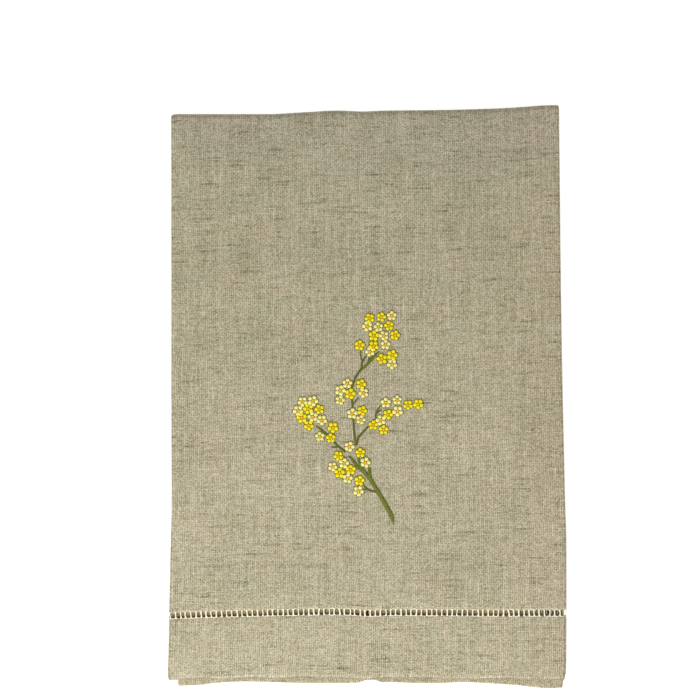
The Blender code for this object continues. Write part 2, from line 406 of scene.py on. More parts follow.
def linen_material():
    """Plain-woven undyed flax: round threads, uneven in tone, with dark and pale slubs.

    It reads matt, finely striped by its warp, crossed by short dark weft slubs, and
    mottled from greenish to pinkish beige, as flax fibres retted unevenly are.
    """
    # The threads are really 0.6 mm apart, and drawn as coarse as they need to show
    warp_pitch = 0.92
    weft_pitch = 0.74
    grain_wide = 0.42
    grain_high = 0.46
    material, tree, shader = new_material("natural_linen")
    flat = add_node(tree, "ShaderNodeUVMap", uv_map="ClothMap").outputs["UV"]

    # Threads wander up to 0.6 mm from the straight
    drift = add_node(tree, "ShaderNodeTexNoise", {"Vector": flat, "Scale": 0.07, "Detail": 1.0})
    centred = add_node(
        tree, "ShaderNodeVectorMath", {0: drift.outputs["Color"], 1: (0.5, 0.5, 0.5)},
        operation="SUBTRACT",
    )
    wander = add_node(
        tree, "ShaderNodeVectorMath", {0: centred.outputs[0], 1: (1.2, 1.2, 0.0), 2: flat},
        operation="MULTIPLY_ADD",
    )
    place = add_node(tree, "ShaderNodeSeparateXYZ", {0: wander.outputs[0]})
    across = place.outputs["X"]
    along = place.outputs["Y"]

    # Number of each thread, and how high its round side stands between its edges
    number = {}
    crown = {}
    for name, way, pitch in (("warp", across, warp_pitch), ("weft", along, weft_pitch)):
        turns = add_node(tree, "ShaderNodeMath", {0: way, 1: pitch}, operation="DIVIDE").outputs[0]
        number[name] = add_node(tree, "ShaderNodeMath", {0: turns}, operation="FLOOR").outputs[0]
        swing = add_node(tree, "ShaderNodeMath", {0: turns, 1: np.pi}, operation="MULTIPLY")
        wave = add_node(tree, "ShaderNodeMath", {0: swing.outputs[0]}, operation="SINE")
        crown[name] = add_node(
            tree, "ShaderNodeMath", {0: wave.outputs[0]}, operation="ABSOLUTE"
        ).outputs[0]

    # Uneven tones: name, thread, length in mm over which it changes, and offset. The noise
    # is read so far on for the next thread that the two are unlike
    next_thread = 7.31
    tones = {}
    for name, thread, length, offset in (
        ("warp tone", "warp", 30.0, 0.0),
        ("warp slub", "warp", 9.0, 21.0),
        ("weft tone", "weft", 16.0, 40.0),
        ("weft slub", "weft", 16.0, 63.0),
    ):
        way = along if thread == "warp" else across
        stretched = add_node(tree, "ShaderNodeMath", {0: way, 1: length}, operation="DIVIDE")
        spread = add_node(
            tree, "ShaderNodeMath", {0: number[thread], 1: next_thread}, operation="MULTIPLY"
        )
        spot = add_node(
            tree, "ShaderNodeCombineXYZ", {0: spread.outputs[0], 1: stretched.outputs[0], 2: offset}
        )
        noise = add_node(
            tree, "ShaderNodeTexNoise", {"Vector": spot.outputs[0], "Scale": 1.0, "Detail": 1.5}
        )
        tones[name] = noise.outputs["Fac"]
    dark_slub = add_node(
        tree, "ShaderNodeMapRange",
        {"Value": tones["weft slub"], "From Min": 0.6, "From Max": 0.72},
    ).outputs[0]
    pale_slub = add_node(
        tree, "ShaderNodeMapRange",
        {"Value": tones["warp slub"], "From Min": 0.62, "From Max": 0.74},
    ).outputs[0]

    # Grain: each short length of thread has a tone and hue of its own
    cell = add_node(
        tree, "ShaderNodeVectorMath", {0: wander.outputs[0], 1: (grain_wide, grain_high, 1.0)},
        operation="DIVIDE",
    )
    whole = add_node(tree, "ShaderNodeVectorMath", {0: cell.outputs[0]}, operation="FLOOR")
    grain = add_node(
        tree, "ShaderNodeTexWhiteNoise", {"Vector": whole.outputs[0]}, noise_dimensions="2D"
    )

    # Brightness: each tone, its middle value and how strongly it shows. The crowns' entries are
    # painted highlight on each round thread and painted shade between threads
    cloud = add_node(tree, "ShaderNodeTexNoise", {"Vector": flat, "Scale": 0.03, "Detail": 2.0})
    brightness = (
        (tones["warp tone"], 0.5, 0.54),
        (tones["weft tone"], 0.5, 0.49),
        (crown["warp"], 0.64, 0.44),
        (crown["weft"], 0.64, 0.16),
        (dark_slub, 0.06, -0.32),
        (pale_slub, 0.05, 0.20),
        (grain.outputs["Value"], 0.5, 0.70),
        (cloud.outputs["Fac"], 0.5, 0.22),
    )
    total = 1.0 - sum(middle * strength for _, middle, strength in brightness)
    for tone, _, strength in brightness:
        total = add_node(
            tree, "ShaderNodeMath", {0: tone, 1: strength, 2: total}, operation="MULTIPLY_ADD"
        ).outputs[0]

    # Single slubs: an oval each, soft at its edge
    for slub in SLUBS:
        apart = add_node(
            tree, "ShaderNodeVectorMath", {0: flat, 1: (slub.across, slub.along, 0.0)},
            operation="SUBTRACT",
        )
        scaled = add_node(
            tree, "ShaderNodeVectorMath", {0: apart.outputs[0], 1: (slub.wide, slub.high, 1.0)},
            operation="DIVIDE",
        )
        distance = add_node(
            tree, "ShaderNodeVectorMath", {0: scaled.outputs[0]}, operation="LENGTH"
        ).outputs["Value"]
        share = add_node(
            tree, "ShaderNodeMapRange",
            {"Value": distance, "From Min": 1.0, "From Max": 0.3, "To Max": slub.change},
        )
        total = add_node(
            tree, "ShaderNodeMath", {0: total, 1: share.outputs[0]}, operation="ADD"
        ).outputs[0]

    # Needle holes in a row beside each hemstitched band
    needle_reach = BAND_MIDDLE + 2.7
    from_bar = add_node(
        tree, "ShaderNodeMath", {0: across, 1: BAR_PITCH / 2}, operation="PINGPONG"
    ).outputs[0]
    nearer_end = add_node(
        tree, "ShaderNodeMath", {0: along, 1: CLOTH_END / 2}, operation="PINGPONG"
    ).outputs[0]
    from_row = add_node(
        tree, "ShaderNodeMath", {0: nearer_end, 1: needle_reach}, operation="SUBTRACT"
    ).outputs[0]
    apart = add_node(tree, "ShaderNodeCombineXYZ", {0: from_bar, 1: from_row})
    distance = add_node(tree, "ShaderNodeVectorMath", {0: apart.outputs[0]}, operation="LENGTH")
    needle = add_node(
        tree, "ShaderNodeMapRange",
        {"Value": distance.outputs["Value"], "From Min": 0.16, "From Max": 0.36, "To Min": 0.45},
    ).outputs[0]

    # Pressed hem: painted highlight on a pale crest, then painted shade on the dark turn where the
    # edge rolls under
    painted_highlight_crest = add_node(
        tree, "ShaderNodeMapRange",
        {"Value": along, "From Min": 1.1, "From Max": 1.8, "To Min": 1.2, "To Max": 1.0},
    ).outputs[0]
    painted_shade_turn_under = add_node(
        tree, "ShaderNodeMapRange",
        {"Value": along, "From Min": 0.35, "From Max": 0.7, "To Min": 0.5, "To Max": 1.0},
    ).outputs[0]
    factor = total
    for share in (needle, painted_highlight_crest, painted_shade_turn_under):
        factor = add_node(
            tree, "ShaderNodeMath", {0: factor, 1: share}, operation="MULTIPLY"
        ).outputs[0]

    # Fibres run from pinkish to greenish beige, in patches and from thread to thread, and the
    # colour is a little pinker towards the right side
    mottle = add_node(tree, "ShaderNodeTexNoise", {"Vector": flat, "Scale": 0.08, "Detail": 3.0})
    mixed = add_node(
        tree, "ShaderNodeMath", {0: grain.outputs["Color"], 1: 0.7, 2: mottle.outputs["Fac"]},
        operation="MULTIPLY_ADD",
    )
    pinker = add_node(
        tree, "ShaderNodeMapRange",
        {"Value": across, "From Min": 52.0, "From Max": 84.0, "To Max": 0.22},
    )
    toned = add_node(
        tree, "ShaderNodeMath", {0: mixed.outputs[0], 1: pinker.outputs[0]}, operation="SUBTRACT"
    )
    hue_share = add_node(
        tree, "ShaderNodeMapRange", {"Value": toned.outputs[0], "From Min": 0.6, "From Max": 1.1}
    )
    hue = add_node(
        tree, "ShaderNodeMix",
        {"Factor": hue_share.outputs[0], "A": srgb("ab9f83"), "B": srgb("a5a084")},
        data_type="RGBA",
    )

    # The flaps' cloth behind the band's holes gets its light through linen, and painted shade tints
    # it browner
    flap_from = HALF_PANEL + SIDE_BEND
    behind_holes = BAND_MIDDLE - 3.0
    beyond = add_node(tree, "ShaderNodeMath", {0: across}, operation="ABSOLUTE").outputs[0]
    on_flap = add_node(
        tree, "ShaderNodeMapRange",
        {"Value": beyond, "From Min": flap_from, "From Max": flap_from + 1.0},
    ).outputs[0]
    from_holes = add_node(
        tree, "ShaderNodeMath", {0: along, 1: behind_holes}, operation="SUBTRACT"
    ).outputs[0]
    aside = add_node(tree, "ShaderNodeMath", {0: from_holes}, operation="ABSOLUTE").outputs[0]
    near_holes = add_node(
        tree, "ShaderNodeMapRange", {"Value": aside, "From Min": 10.0, "From Max": 7.0}
    ).outputs[0]
    painted_brown_shade = add_node(
        tree, "ShaderNodeMath", {0: on_flap, 1: near_holes}, operation="MULTIPLY"
    ).outputs[0]
    hue_with_painted_shade = add_node(
        tree, "ShaderNodeMix",
        {"Factor": painted_brown_shade, "A": hue.outputs["Result"], "B": srgb("a89464")}, data_type="RGBA",
    )

    # Darker fibres are yellower, so blue falls faster than red and green; and painted shade
    # makes the cloth a little greyer near the top fold
    painted_grey_by_fold = add_node(
        tree, "ShaderNodeMapRange",
        {"Value": nearer_end, "From Min": 200.0, "From Max": 245.0, "To Min": 1.0, "To Max": 1.04},
    )
    fall = add_node(tree, "ShaderNodeMath", {0: factor, 1: 1.3}, operation="POWER")
    blue = add_node(
        tree, "ShaderNodeMath", {0: fall.outputs[0], 1: painted_grey_by_fold.outputs[0]}, operation="MULTIPLY"
    ).outputs[0]
    shades = add_node(tree, "ShaderNodeCombineXYZ", {0: factor, 1: factor, 2: blue})
    colour = add_node(
        tree, "ShaderNodeVectorMath", {0: hue_with_painted_shade.outputs["Result"], 1: shades.outputs[0]},
        operation="MULTIPLY",
    )
    tree.links.new(colour.outputs[0], shader.inputs["Base Color"])

    # Plain weave: warp and weft take turns on top
    both = add_node(tree, "ShaderNodeMath", {0: number["warp"], 1: number["weft"]}, operation="ADD")
    turn = add_node(tree, "ShaderNodeMath", {0: both.outputs[0], 1: 1.0}, operation="PINGPONG")
    weave = add_node(
        tree, "ShaderNodeMix", {"Factor": turn.outputs[0], "A": crown["warp"], "B": crown["weft"]}
    )
    bump = add_node(
        tree, "ShaderNodeBump",
        {"Height": weave.outputs["Result"], "Strength": 0.6, "Distance": 0.16 * MM},
    )
    tree.links.new(bump.outputs["Normal"], shader.inputs["Normal"])
    shader.inputs["Roughness"].default_value = 0.88
    shader.inputs["Sheen Weight"].default_value = 0.12
    shader.inputs["Sheen Roughness"].default_value = 0.5
    return material


def thread_material(name, light, tone_and_painted_shade, strand, full, roughness=0.5, sheen=0.1):
    """Twisted or laid thread: strands side by side, each a little unlike the next.

    Strands repeat along the pattern's first coordinate, and run along its second. The
    eye gets fine ridges with a soft gleam, and darker lines where strands meet, which are
    painted shade; each strand's tone differs a little too. Lines are wider where full, the
    share of a strand's crown from which it is fully light, is more.
    """
    material, tree, shader = new_material(name)
    flat = add_node(tree, "ShaderNodeUVMap", uv_map="ClothMap").outputs["UV"]
    place = add_node(tree, "ShaderNodeSeparateXYZ", {0: flat})
    turns = add_node(
        tree, "ShaderNodeMath", {0: place.outputs["X"], 1: strand}, operation="DIVIDE"
    ).outputs[0]
    swing = add_node(tree, "ShaderNodeMath", {0: turns, 1: np.pi}, operation="MULTIPLY")
    wave = add_node(tree, "ShaderNodeMath", {0: swing.outputs[0]}, operation="SINE")
    crown = add_node(tree, "ShaderNodeMath", {0: wave.outputs[0]}, operation="ABSOLUTE").outputs[0]
    number = add_node(tree, "ShaderNodeMath", {0: turns}, operation="FLOOR").outputs[0]
    spot = add_node(tree, "ShaderNodeCombineXYZ", {0: number, 1: place.outputs["Y"]})
    noise = add_node(tree, "ShaderNodeTexNoise", {"Vector": spot.outputs[0], "Scale": 0.7})
    share = add_node(
        tree, "ShaderNodeMath", {0: noise.outputs["Fac"], 1: crown}, operation="MULTIPLY"
    )
    mixed = add_node(
        tree, "ShaderNodeMapRange", {"Value": share.outputs[0], "From Min": 0.02, "From Max": full}
    )
    colour = add_node(
        tree, "ShaderNodeMix", {"Factor": mixed.outputs[0], "A": srgb(tone_and_painted_shade), "B": srgb(light)},
        data_type="RGBA",
    )

    # Thread between the layers gets its light through linen, and painted shade tints it browner
    stack_middle = 3.4 * MM
    inner_half = 1.9 * MM
    deep_half = 1.4 * MM
    spot = add_node(tree, "ShaderNodeTexCoord").outputs["Object"]
    height = add_node(tree, "ShaderNodeSeparateXYZ", {0: spot}).outputs["Z"]
    from_middle = add_node(
        tree, "ShaderNodeMath", {0: height, 1: stack_middle}, operation="SUBTRACT"
    ).outputs[0]
    aside = add_node(tree, "ShaderNodeMath", {0: from_middle}, operation="ABSOLUTE").outputs[0]
    inside_painted_shade = add_node(
        tree, "ShaderNodeMapRange", {"Value": aside, "From Min": inner_half, "From Max": deep_half}
    ).outputs[0]
    painted_brown_shade = add_node(
        tree, "ShaderNodeMix",
        {"Factor": inside_painted_shade, "A": colour.outputs["Result"], "B": srgb("b8a070")},
        data_type="RGBA", blend_type="MULTIPLY",
    )
    tree.links.new(painted_brown_shade.outputs["Result"], shader.inputs["Base Color"])
    bump = add_node(
        tree, "ShaderNodeBump", {"Height": crown, "Strength": 0.7, "Distance": strand / 3 * MM}
    )
    tree.links.new(bump.outputs["Normal"], shader.inputs["Normal"])
    shader.inputs["Specular IOR Level"].default_value = 0.25
    shader.inputs["Roughness"].default_value = roughness
    shader.inputs["Sheen Weight"].default_value = sheen
    return material


def spread_across(panel_steps, bend_steps, flap_steps):
    """Places across the whole cloth, closer together round the side folds."""
    panel = np.linspace(0.0, HALF_PANEL, panel_steps + 1)[:-1]
    bend = np.linspace(HALF_PANEL, HALF_PANEL + SIDE_BEND, bend_steps + 1)[:-1]
    flap = np.linspace(HALF_PANEL + SIDE_BEND, CLOTH_EDGE, flap_steps + 1)
    half = np.concatenate([panel, bend, flap])
    return np.concatenate([-half[:0:-1], half])


def make_cloth(linen):
    """The towel from one hemstitched band over the top fold to the other.

    A grid in cloth coordinates, raised so that its face lies on the solid's face, and
    given the thickness of linen.
    """
    across = spread_across(panel_steps=45, bend_steps=10, flap_steps=26)
    front = np.linspace(BAND_HIGH, HALF_LENGTH, 110)[:-1]
    top = np.linspace(HALF_LENGTH, HALF_LENGTH + TOP_BEND, 15)[:-1]
    back = np.linspace(HALF_LENGTH + TOP_BEND, CLOTH_END - BAND_HIGH, 60)
    across, along = np.meshgrid(across, np.concatenate([front, top, back]))
    points = on_cloth(across, along, FACE_OFFSET)
    pattern = np.stack([across, along], axis=-1)
    cloth = add_piece("cloth", points, grid_faces(*across.shape), pattern, linen)
    shell = cloth.modifiers.new("linen thickness", "SOLIDIFY")
    shell.thickness = CLOTH_THICK * MM
    shell.offset = 0.0
    shell.use_even_offset = True
    return cloth


def hem_profile():
    """Reach and raised height round a turned hem, from the band down its face and back.

    The face and back are flat, the bottom edge is half a circle, and the end at the band
    draws in to a crease between the face and the layers turned in behind it.
    """
    crease_deep = 0.9
    crease_raised = 0.12
    nip = 0.3
    nip_within = 0.5
    radius = HEM_THICK / 2
    down = BAND_LOW - (BAND_LOW - radius) * np.linspace(0.0, 1.0, 20) ** 1.5
    turn = np.linspace(np.pi / 2, -np.pi / 2, 9)[1:-1]
    rolled = radius - radius * np.cos(turn)
    reach = np.concatenate([down, rolled, down[::-1], [BAND_LOW - crease_deep]])
    flat = np.full_like(down, radius)
    raised = np.concatenate([flat, radius * np.sin(turn), -flat, [crease_raised]])
    nipped = nip * np.exp((reach - BAND_LOW) / nip_within)
    return reach, raised * (1.0 - nipped)


def make_hem(name, at_back, linen):
    """One turned hem: its profile carried across the whole folded cloth, ends capped.

    Beside the band its edge is drawn up to each bar and hollow between bars.
    """
    drawn_up = 0.16
    drawn_within = 0.7
    fine = np.arange(-CLOTH_EDGE, CLOTH_EDGE, BAR_PITCH / 6)
    bends = spread_across(panel_steps=1, bend_steps=12, flap_steps=1)
    places = np.unique(np.concatenate([fine, bends]))
    reach, raised = hem_profile()
    reach, across = np.meshgrid(reach, places)
    raised = np.broadcast_to(raised, reach.shape)
    drawn = drawn_up * np.exp((reach - BAND_LOW) / drawn_within)
    reach = reach - drawn * np.cos(2 * np.pi * across / BAR_PITCH)
    along = CLOTH_END - reach if at_back else reach
    points = on_cloth(across, along, raised)
    walls, caps = tube_faces(1, *across.shape)
    pattern = np.stack([across, along], axis=-1)
    return add_piece(name, points, walls, pattern, linen, caps=caps, flip=at_back)


def make_bars(name, at_back, thread):
    """Bundles of warp threads standing across the open band, drawn in at their middles.

    Each is a tube whose half width opens at both ends; it leans and bows a little, like a
    bracket, by its own amount, and those at the right lean to the left. Bars lie near the
    side of the cloth that faces up.
    """
    into_hem = 0.45
    wider_ends = 0.95
    seat = 0.42
    arch = 0.08
    half_thick = 0.2
    strand_turn = 0.35
    rng = np.random.default_rng(17)
    count = int(CLOTH_EDGE / BAR_PITCH)
    middle = (np.arange(-count, count) + 0.5) * BAR_PITCH
    bow = rng.normal(0.02, 0.13, middle.size)
    lean = rng.normal(0.0, 0.11, middle.size) - 0.2 * ease(30.0, 80.0, middle)
    stout = rng.uniform(0.24, 0.33, middle.size)
    way = np.linspace(-1.0, 1.0, 9)
    angle = np.linspace(0.0, 2 * np.pi, 8, endpoint=False)
    bar, way, angle = np.meshgrid(np.arange(middle.size), way, angle, indexing="ij")
    half_width = stout[bar] * (1.0 + wider_ends * np.abs(way) ** 3)
    shift = bow[bar] * (1.0 - way**2) + lean[bar] * way
    across = middle[bar] + shift + half_width * np.cos(angle)
    reach = BAND_MIDDLE + way * (BAND_HEIGHT / 2 + into_hem)
    facing = 1.0 - 2.0 * ease(HALF_PANEL, HALF_PANEL + SIDE_BEND, np.abs(across))
    raised = facing * (seat + arch * (1.0 - way**2)) + half_thick * np.sin(angle)
    along = CLOTH_END - reach if at_back else reach
    points = on_cloth(across, along, raised)
    walls, caps = tube_faces(*bar.shape)
    pattern = np.stack([angle * strand_turn + bar, along], axis=-1)
    return add_piece(
        name, points, walls, pattern, thread, caps=caps, flip=not at_back
    )


def make_edge_threads(name, at_back, thread):
    """Sewing thread wrapped round each bundle, in arcs along both edges of the band.

    A thin tube follows the edge at a height that wavers a little, bulging away from the
    band in the middle of each hole and coming up to the bundle between holes.
    """
    radius = 0.17
    end_gap = 0.2
    clear = 0.05
    bulge = 0.3
    seat = 0.38
    tilt = 0.08
    across = np.arange(-CLOTH_EDGE + end_gap, CLOTH_EDGE - end_gap, BAR_PITCH / 8)
    angle = np.linspace(0.0, 2 * np.pi, 6, endpoint=False)
    edge, across, angle = np.meshgrid([-1.0, 1.0], across, angle, indexing="ij")
    hollow = np.abs(np.cos(np.pi * across / BAR_PITCH))
    uneven = 0.08 * np.sin(across * 0.7) + 0.06 * np.sin(across * 1.9)
    from_middle = edge * (BAND_HEIGHT / 2 + clear + bulge * hollow)
    reach = BAND_MIDDLE + from_middle + radius * np.cos(angle)
    raised = seat + uneven - tilt * edge + radius * np.sin(angle)
    along = CLOTH_END - reach if at_back else reach
    points = on_cloth(across, along, raised)
    walls, caps = tube_faces(*across.shape)
    pattern = np.stack([angle * radius, across], axis=-1)
    return add_piece(
        name, points, walls, pattern, thread, caps=caps, flip=at_back
    )


# Clusters of flowers: first row's middle, heading in degrees, and the rows, with b for each
# bright flower and p for each pale one; then step and stagger in mm, and bend in degrees
Cluster = namedtuple("Cluster", "x y heading rows step stagger bend", defaults=(4.2, -0.4, 0.0))
CLUSTERS = (
    Cluster(x=6.2, y=35.6, heading=-87.0, rows=("bbp", "ppb", "bpb", "bp"), stagger=1.2),
    Cluster(x=1.6, y=20.0, heading=0.0, rows=("p",)),
    Cluster(x=9.0, y=17.8, heading=-66.0, rows=("bb", "p"), step=4.0),
    Cluster(x=-3.5, y=22.7, heading=0.0, rows=("b",)),
    Cluster(x=-9.1, y=5.8, heading=-107.0, rows=("p", "pb", "p"), step=3.9),
    Cluster(x=-2.4, y=5.6, heading=-80.0, rows=("b", "p"), step=4.4),
    Cluster(x=-4.3, y=-7.0, heading=-72.0, rows=("pb", "p"), step=4.0),
    Cluster(x=23.3, y=-3.4, heading=187.0, rows=("b", "b", "pp", "pb"), step=4.9),
    Cluster(x=6.5, y=-10.6, heading=-117.0, rows=("p", "bb"), step=3.8),
    Cluster(x=-26.7, y=-2.4, heading=-88.0, rows=("pp", "pbb", "bp", "b"), step=3.6),
    Cluster(x=-19.9, y=-11.2, heading=-40.0, rows=("p", "b"), step=5.4),
    Cluster(x=-21.1, y=-18.3, heading=-16.0, rows=("p", "b"), step=4.9),
    Cluster(x=-7.7, y=-23.3, heading=-30.0, rows=("p", "b", "p"), step=5.1, bend=-22.0),
    Cluster(x=-12.9, y=-26.6, heading=-75.0, rows=("b", "pp", "bb"), step=3.9, stagger=1.1),
    Cluster(x=-6.3, y=-37.4, heading=-104.0, rows=("pb",), step=4.3),
    Cluster(x=-3.8, y=-43.0, heading=0.0, rows=("p",)),
)

# Flowers: spacing in a row, usual stray from a place in it, and least and most size
FLOWER_SPACING = 4.85
FLOWER_STRAY = 0.22
FLOWER_SIZES = (1.0, 1.15)

# Petals of a flower of size 1: number, how far out their middles lie, half width, height,
# where they sit on the linen, how far the foot is sunk, and how much wider it is
PETALS = 5
PETAL_OUT = 1.38
PETAL_HALF = 0.86
PETAL_HIGH = 0.7
PETAL_SEAT = 0.08
PETAL_SUNK = 0.1
PETAL_FOOT = 1.34

# Knot at a flower's middle, in the same way
KNOT_HALF = 0.68
KNOT_HIGH = 0.4
KNOT_SEAT = 0.48
KNOT_SUNK = 0.08
KNOT_FOOT = 1.45

# Width of a laid strand of floss, and length of a stitch along a stem
FLOSS_STRAND = 0.28
STITCH_STEP = 1.3

# Stems: the places in mm that each passes through, and its width in mm at each
Stem = namedtuple("Stem", "x y width")
SATIN_STEMS = (
    Stem(
        x=(12.1, 11.1, 8.8, 5.5, 3.0, 0.9),
        y=(-58.0, -54.2, -49.7, -44.0, -40.0, -36.3),
        width=(0.4, 2.3, 2.3, 2.1, 2.1, 2.2),
    ),
    Stem(
        x=(1.3, -1.6, -4.2, -6.2, -8.3),
        y=(-37.4, -34.0, -31.9, -29.2, -26.7),
        width=(2.0, 1.9, 1.7, 1.5, 0.5),
    ),
    Stem(x=(-0.6, -2.4, -3.3, -3.9), y=(-34.8, -32.5, -30.2, -28.0), width=(1.6, 2.0, 1.7, 1.1)),
    Stem(x=(1.4, 1.1, 1.2), y=(-37.2, -34.8, -32.3), width=(1.8, 1.9, 1.5)),
    Stem(
        x=(-2.2, 0.0, 1.7, 3.6, 5.4),
        y=(12.0, 14.0, 16.2, 18.2, 20.0),
        width=(1.0, 1.1, 1.9, 1.3, 0.6),
    ),
)
FINE_STEMS = (
    Stem(
        x=(-9.6, -12.8, -16.8, -20.4, -22.8),
        y=(-25.3, -22.8, -18.5, -15.3, -13.4),
        width=(1.1, 1.2, 1.1, 1.1, 0.7),
    ),
    Stem(x=(-12.6, -14.4, -16.4), y=(-22.9, -23.1, -23.0), width=(0.9, 0.8, 0.6)),
    Stem(
        x=(-4.9, -5.6, -6.2, -6.5, -6.9),
        y=(-22.1, -18.0, -10.2, -4.2, -0.5),
        width=(1.0, 1.1, 1.0, 1.0, 0.9),
    ),
    Stem(x=(-6.6, -6.3, -4.9, -2.2), y=(3.6, 5.2, 8.8, 12.5), width=(0.8, 1.0, 1.1, 1.2)),
    Stem(x=(-2.4, -2.3, -1.6, -0.4), y=(12.2, 14.5, 16.2, 18.0), width=(1.0, 1.0, 1.0, 0.8)),
    Stem(x=(-2.1, -2.7, -3.0), y=(15.4, 17.4, 20.4), width=(0.8, 0.8, 0.7)),
    Stem(x=(0.4, 0.8, 0.9), y=(14.8, 16.4, 18.0), width=(0.9, 0.8, 0.5)),
    Stem(x=(4.6, 4.6, 4.9), y=(24.0, 25.4, 27.0), width=(0.7, 0.7, 0.6)),
    Stem(x=(-6.3, -4.9, -3.8), y=(-3.8, -2.0, -0.6), width=(0.8, 0.8, 0.6)),
    Stem(x=(-4.7, -3.9, -2.8, 0.5), y=(-22.2, -19.0, -17.5, -13.8), width=(1.1, 1.1, 1.1, 1.0)),
    Stem(x=(3.8, 4.1, 5.2, 6.4), y=(-10.6, -7.8, -5.6, -4.2), width=(0.9, 0.9, 0.8, 0.6)),
    Stem(x=(4.3, 5.4, 6.7), y=(-7.8, -6.9, -6.2), width=(0.8, 0.8, 0.6)),
    Stem(x=(4.4, 2.7, 0.1, -1.7), y=(-43.4, -42.9, -42.0, -39.8), width=(1.0, 1.0, 1.0, 0.8)),
    Stem(x=(0.2, -0.8, -1.8), y=(-42.1, -42.2, -42.1), width=(0.8, 0.8, 0.6)),
)


def flower_places():
    """Middle of each flower, its turn and size, and whether it is pale.

    Rows lie across a cluster's heading, one step apart, and are staggered in turn. Their
    flowers are evenly spaced and then slightly moved.
    """
    rng = np.random.default_rng(5)
    places = []
    pale = []
    for cluster in CLUSTERS:
        at = np.array([cluster.x, cluster.y])
        heading = np.radians(cluster.heading)
        for row, kinds in enumerate(cluster.rows):
            forward = np.array([np.cos(heading), np.sin(heading)])
            sideways = np.array([-forward[1], forward[0]])
            slide = cluster.stagger * min(row, 1) * (-1) ** row
            for place, kind in enumerate(kinds):
                shift = (place - (len(kinds) - 1) / 2) * FLOWER_SPACING + slide
                middle = at + sideways * shift + rng.normal(0.0, FLOWER_STRAY, 2)
                turn = rng.uniform(0.0, 2 * np.pi)
                size = rng.uniform(*FLOWER_SIZES)
                places.append((*middle, turn, size))
                pale.append(kind == "p")
            at = at + forward * cluster.step
            heading += np.radians(cluster.bend)
    return np.array(places), np.array(pale)


def make_petals(name, places, floss):
    """Five satin-stitched petals round each place.

    A petal is a steep dome over an oval that is widest past its middle: rings of points
    shrink to the crown as the height rises by a quarter circle. A first, wider ring lies
    where the stitches enter the linen, and has the pattern's dark line between strands:
    painted shade round the petal's foot.
    """
    rings = np.array([-0.1, 0.0, 0.2, 0.45, 0.7, 0.88])
    sides = 12
    angle = np.linspace(0.0, 2 * np.pi, sides, endpoint=False)
    flower, petal, ring, angle = np.meshgrid(
        np.arange(len(places)), np.arange(PETALS), rings, angle, indexing="ij"
    )
    x, y, turn, size = (places[flower, column] for column in range(4))
    at_foot = ring < 0.0
    spread = np.where(at_foot, PETAL_FOOT, np.cos(ring * np.pi / 2) ** 0.8)
    outward = PETAL_OUT + PETAL_HALF * spread * np.cos(angle)
    lateral = PETAL_HALF * spread * np.sin(angle) * (1.0 + 0.16 * np.cos(angle))
    heading = turn + petal * 2 * np.pi / PETALS
    px = x + size * (outward * np.cos(heading) - lateral * np.sin(heading))
    py = y + size * (outward * np.sin(heading) + lateral * np.cos(heading))
    dome = np.where(at_foot, -PETAL_SUNK, PETAL_HIGH * np.sin(ring * np.pi / 2))
    pz = face_height(px, py) + PETAL_SEAT + dome
    points = np.stack([px, py, pz], axis=-1)
    walls, caps = tube_faces(len(places) * PETALS, rings.size, sides)

    # Every petal and flower reads a part of the pattern of its own, and the foot ring reads the
    # dark line between strands: painted shade round the petal's foot
    strand = FLOSS_STRAND * 10.0 * petal + np.where(ring > 0.0, lateral + FLOSS_STRAND / 2, 0.0)
    pattern = np.stack([strand, outward + 7.0 * flower], axis=-1)
    return add_piece(name, points, walls, pattern, floss, caps=caps)


def make_knots(name, places, floss):
    """A small knot of floss at the middle of each flower, raised over the petals' ends.

    A low dome with a dimple, on a wider ring that has the pattern's dark line: painted shade round
    the knot's foot.
    """
    rings = np.concatenate([[-0.1], np.linspace(0.0, 1.0, 7)[:-1]])
    sides = 10
    angle = np.linspace(0.0, 2 * np.pi, sides, endpoint=False)
    flower, ring, angle = np.meshgrid(np.arange(len(places)), rings, angle, indexing="ij")
    x, y, turn, size = (places[flower, column] for column in range(4))
    at_foot = ring < 0.0
    coil = 1.0 + 0.1 * np.cos(2 * (angle - turn))
    spread = np.where(at_foot, KNOT_FOOT, np.cos(ring * np.pi / 2))
    radius = KNOT_HALF * size * coil * spread
    px = x + radius * np.cos(angle)
    py = y + radius * np.sin(angle)
    dimple = 0.22 * ease(0.8, 1.0, ring)
    dome = np.where(at_foot, -KNOT_SUNK, KNOT_HIGH * np.sin(ring * np.pi / 2))
    pz = face_height(px, py) + KNOT_SEAT + dome - dimple
    points = np.stack([px, py, pz], axis=-1)
    walls, caps = tube_faces(len(places), rings.size, sides)
    # The foot ring reads the pattern's dark line: painted shade round the knot
    pattern = np.stack([np.maximum(ring, 0.0) * 1.3, angle * 0.6 + 5.0 * flower], axis=-1)
    return add_piece(name, points, walls, pattern, floss, caps=caps)


